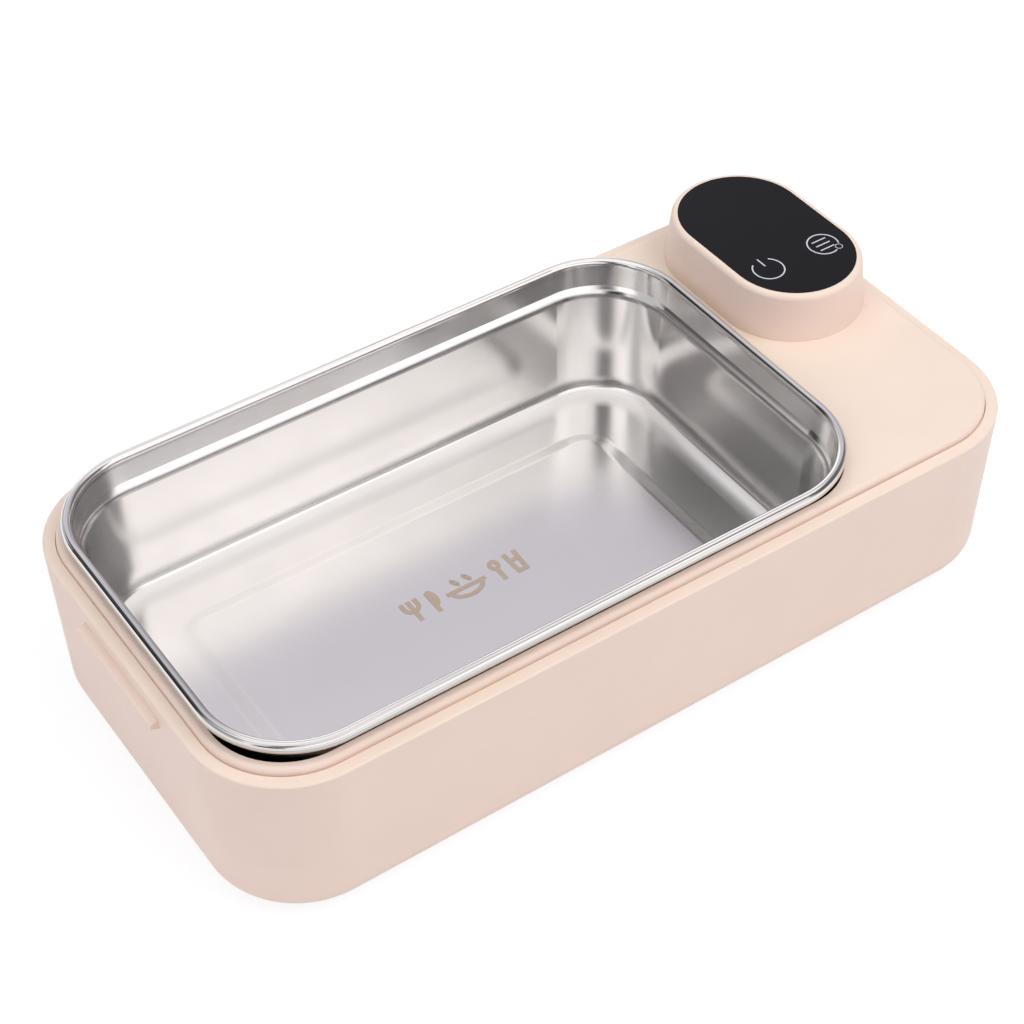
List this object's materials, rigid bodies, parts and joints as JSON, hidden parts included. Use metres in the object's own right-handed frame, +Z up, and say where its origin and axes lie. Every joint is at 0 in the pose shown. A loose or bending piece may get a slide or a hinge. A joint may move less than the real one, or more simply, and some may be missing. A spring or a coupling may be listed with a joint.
{
  "type": "electric lunch box",
  "caption": "Long rounded heated lunch box body with a touch panel on a raised pod and a lift-out steel food tray.",
  "frame": {"origin": "on the table under the middle of the box", "axes": "+X along the length towards the touch panel's pod, +Y from the front to the back, +Z up"},
  "size_m": [0.2442, 0.122, 0.0666],
  "materials": {
    "cream_shell": "fine matt moulded cream plastic",
    "cream_deck": "fine matt moulded cream plastic",
    "black_panel": "smooth black cover panel",
    "pale_ink": "pale printed ink",
    "grey_foam": "thin sticky foam",
    "board": "green circuit board",
    "spring_steel": "bright spring steel",
    "display_grey": "grey display block",
    "screw_steel": "zinc plated steel",
    "yellow_tape": "yellow tape round a core",
    "blue_case": "blue plastic case",
    "red_case": "red plastic case",
    "black_sleeve": "black moulded plastic",
    "fuse_glass": "plated clips round a glass tube",
    "white_plug": "white plug plastic",
    "dark_aluminium": "dark coated pressed sheet",
    "silicone_seal": "grey silicone",
    "heater_copper": "foil heater plate",
    "felt": "white glass felt",
    "clamp_steel": "plain pressed steel",
    "glass_sleeve": "woven glass sleeve",
    "black_inlet": "black moulded plastic",
    "brass_pins": "bright brass",
    "blue_wire": "wire insulation",
    "red_wire": "wire insulation",
    "white_wire": "wire insulation",
    "rubber": "soft matt rubber",
    "tray_steel": "satin stainless steel"
  },
  "bodies": {
    "base": {"outer_shell": "cream_shell", "top_deck": "cream_deck", "control_panel": "black_panel", "panel_marks": "pale_ink", "panel_tape": "grey_foam", "control_board": "board", "touch_springs": "spring_steel", "display_module": "display_grey", "control_board_screws": "screw_steel", "power_board": "board", "transformer": "yellow_tape", "relay": "blue_case", "filter_capacitor": "red_case", "smoothing_capacitor": "black_sleeve", "board_fuse": "fuse_glass", "board_connectors": "white_plug", "power_board_screws": "screw_steel", "heating_well": "dark_aluminium", "well_seal": "silicone_seal", "well_screws": "screw_steel", "heating_element": "heater_copper", "heater_felt": "felt", "clamp_plate": "clamp_steel", "push_nuts": "spring_steel", "thermostat": "black_sleeve", "thermal_fuse": "glass_sleeve", "temperature_probe": "clamp_steel", "sensor_clips": "spring_steel", "inlet_socket": "black_inlet", "inlet_pins": "brass_pins", "mains_wires": "blue_wire", "heater_wires": "red_wire", "signal_wires": "white_wire", "case_screws": "screw_steel", "rubber_feet": "rubber"},
    "tray": {"food_tray": "tray_steel"}
  },
  "joints": [
    {"name": "tray_lift", "type": "slide", "parent": "base", "child": "tray", "axis": [0, 0, 1], "range_m": [0, 0.062]}
  ]
}
